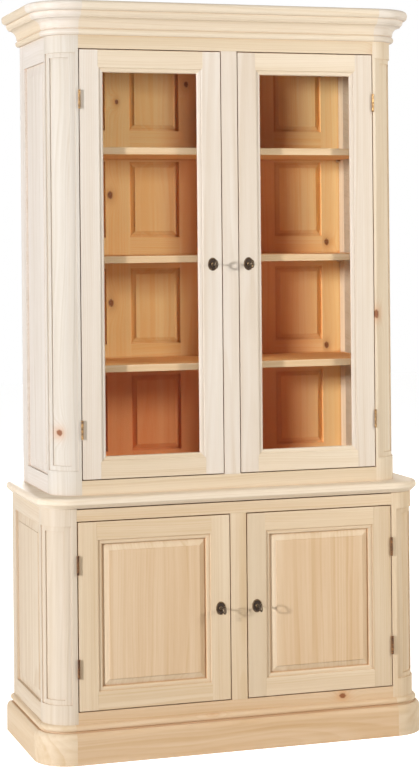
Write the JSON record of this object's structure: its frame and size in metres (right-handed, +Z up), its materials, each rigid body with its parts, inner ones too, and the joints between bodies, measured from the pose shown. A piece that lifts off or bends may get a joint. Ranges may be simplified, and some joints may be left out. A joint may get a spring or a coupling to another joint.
{
  "type": "display cabinet",
  "caption": "Two-part pine display cabinet: glazed doors over panelled base doors, rounded corner posts, moulded cornice and plinth, locks with keys.",
  "frame": {"origin": "on the floor, in the middle of the bounding box", "axes": "+Z up, front faces -Y, +X to the right of someone who looks at the front"},
  "size_m": [1.179, 0.498, 2.15],
  "materials": {
    "pine_pale": "raw pale pine, faintly waxed",
    "pine_warm": "raw pine, warmer tone",
    "pine_inside": "old honey-brown pine inside",
    "peg_beech": "plain beech pegs",
    "door_glass": "clear float glass",
    "hinge_brass": "dark antiqued brass",
    "escutcheon_brass": "dark patinated cast brass",
    "lock_steel": "plain lock steel",
    "key_steel": "dark antiqued key metal"
  },
  "bodies": {
    "cabinet": {"back_frame": "pine_inside", "back_panels": "pine_inside", "base_back": "pine_warm", "base_bottom_rail": "pine_warm", "base_centre_stile": "pine_warm", "base_corner_posts": "pine_warm", "base_floor": "pine_warm", "base_shelf": "pine_warm", "base_side_frames": "pine_warm", "base_side_panels": "pine_warm", "base_top_rail": "pine_warm", "cornice_corners": "pine_pale", "cornice_front": "pine_pale", "cornice_sides": "pine_pale", "hinge_frame_leaves": "hinge_brass", "hinge_pins": "hinge_brass", "plinth_corners": "pine_warm", "plinth_front": "pine_warm", "plinth_sides": "pine_warm", "shelf_pegs": "peg_beech", "shelves": "pine_inside", "upper_bottom_rail": "pine_pale", "upper_centre_stile": "pine_pale", "upper_corner_posts": "pine_pale", "upper_floor": "pine_inside", "upper_side_frames": "pine_pale", "upper_side_panels": "pine_pale", "upper_top": "pine_pale", "upper_top_rail": "pine_pale", "waist_board": "pine_warm"},
    "upper_left_door": {"upper_left_door_frame": "pine_pale", "upper_left_door_glass": "door_glass", "upper_left_door_glazing_beads": "pine_pale", "upper_left_escutcheon": "escutcheon_brass", "upper_left_hinge_leaves": "hinge_brass", "upper_left_lock_case": "lock_steel"},
    "upper_left_key": {"upper_left_key": "key_steel"},
    "upper_left_bolt": {"upper_left_lock_bolt": "lock_steel"},
    "upper_right_door": {"upper_right_door_frame": "pine_pale", "upper_right_door_glass": "door_glass", "upper_right_door_glazing_beads": "pine_pale", "upper_right_escutcheon": "escutcheon_brass", "upper_right_hinge_leaves": "hinge_brass", "upper_right_lock_case": "lock_steel"},
    "upper_right_key": {"upper_right_key": "key_steel"},
    "upper_right_bolt": {"upper_right_lock_bolt": "lock_steel"},
    "base_left_door": {"base_left_door_frame": "pine_warm", "base_left_door_panel": "pine_warm", "base_left_escutcheon": "escutcheon_brass", "base_left_hinge_leaves": "hinge_brass", "base_left_lock_case": "lock_steel"},
    "base_left_key": {"base_left_key": "key_steel"},
    "base_left_bolt": {"base_left_lock_bolt": "lock_steel"},
    "base_right_door": {"base_right_door_frame": "pine_warm", "base_right_door_panel": "pine_warm", "base_right_escutcheon": "escutcheon_brass", "base_right_hinge_leaves": "hinge_brass", "base_right_lock_case": "lock_steel"},
    "base_right_key": {"base_right_key": "key_steel"},
    "base_right_bolt": {"base_right_lock_bolt": "lock_steel"}
  },
  "joints": [
    {"name": "upper_left_door_swing", "type": "hinge", "parent": "cabinet", "child": "upper_left_door", "pos_m": [-0.4495, -0.1576, 0], "axis": [0, 0, -1], "range_deg": [0, 165]},
    {"name": "upper_left_key_turn", "type": "hinge", "parent": "upper_left_door", "child": "upper_left_key", "pos_m": [-0.055, -0.154, 1.4], "axis": [0, 1, 0], "range_deg": [0, 180]},
    {"name": "upper_left_bolt_throw", "type": "slide", "parent": "upper_left_door", "child": "upper_left_bolt", "axis": [1, 0, 0], "range_m": [0, 0.009]},
    {"name": "upper_right_door_swing", "type": "hinge", "parent": "cabinet", "child": "upper_right_door", "pos_m": [0.4495, -0.1576, 0], "axis": [0, 0, 1], "range_deg": [0, 165]},
    {"name": "upper_right_key_turn", "type": "hinge", "parent": "upper_right_door", "child": "upper_right_key", "pos_m": [0.055, -0.154, 1.4], "axis": [0, -1, 0], "range_deg": [0, 180]},
    {"name": "upper_right_bolt_throw", "type": "slide", "parent": "upper_right_door", "child": "upper_right_bolt", "axis": [-1, 0, 0], "range_m": [0, 0.009]},
    {"name": "base_left_door_swing", "type": "hinge", "parent": "cabinet", "child": "base_left_door", "pos_m": [-0.4775, -0.2046, 0], "axis": [0, 0, -1], "range_deg": [0, 165]},
    {"name": "base_left_key_turn", "type": "hinge", "parent": "base_left_door", "child": "base_left_key", "pos_m": [-0.055, -0.201, 0.41], "axis": [0, 1, 0], "range_deg": [0, 180]},
    {"name": "base_left_bolt_throw", "type": "slide", "parent": "base_left_door", "child": "base_left_bolt", "axis": [1, 0, 0], "range_m": [0, 0.009]},
    {"name": "base_right_door_swing", "type": "hinge", "parent": "cabinet", "child": "base_right_door", "pos_m": [0.4775, -0.2046, 0], "axis": [0, 0, 1], "range_deg": [0, 165]},
    {"name": "base_right_key_turn", "type": "hinge", "parent": "base_right_door", "child": "base_right_key", "pos_m": [0.055, -0.201, 0.41], "axis": [0, -1, 0], "range_deg": [0, 180]},
    {"name": "base_right_bolt_throw", "type": "slide", "parent": "base_right_door", "child": "base_right_bolt", "axis": [-1, 0, 0], "range_m": [0, 0.009]}
  ],
  "couplings": [
    {"joint": "upper_left_key_turn", "follows": "upper_left_bolt_throw", "rad_per_m": 349.07},
    {"joint": "upper_right_key_turn", "follows": "upper_right_bolt_throw", "rad_per_m": 349.07},
    {"joint": "base_left_key_turn", "follows": "base_left_bolt_throw", "rad_per_m": 349.07},
    {"joint": "base_right_key_turn", "follows": "base_right_bolt_throw", "rad_per_m": 349.07}
  ]
}
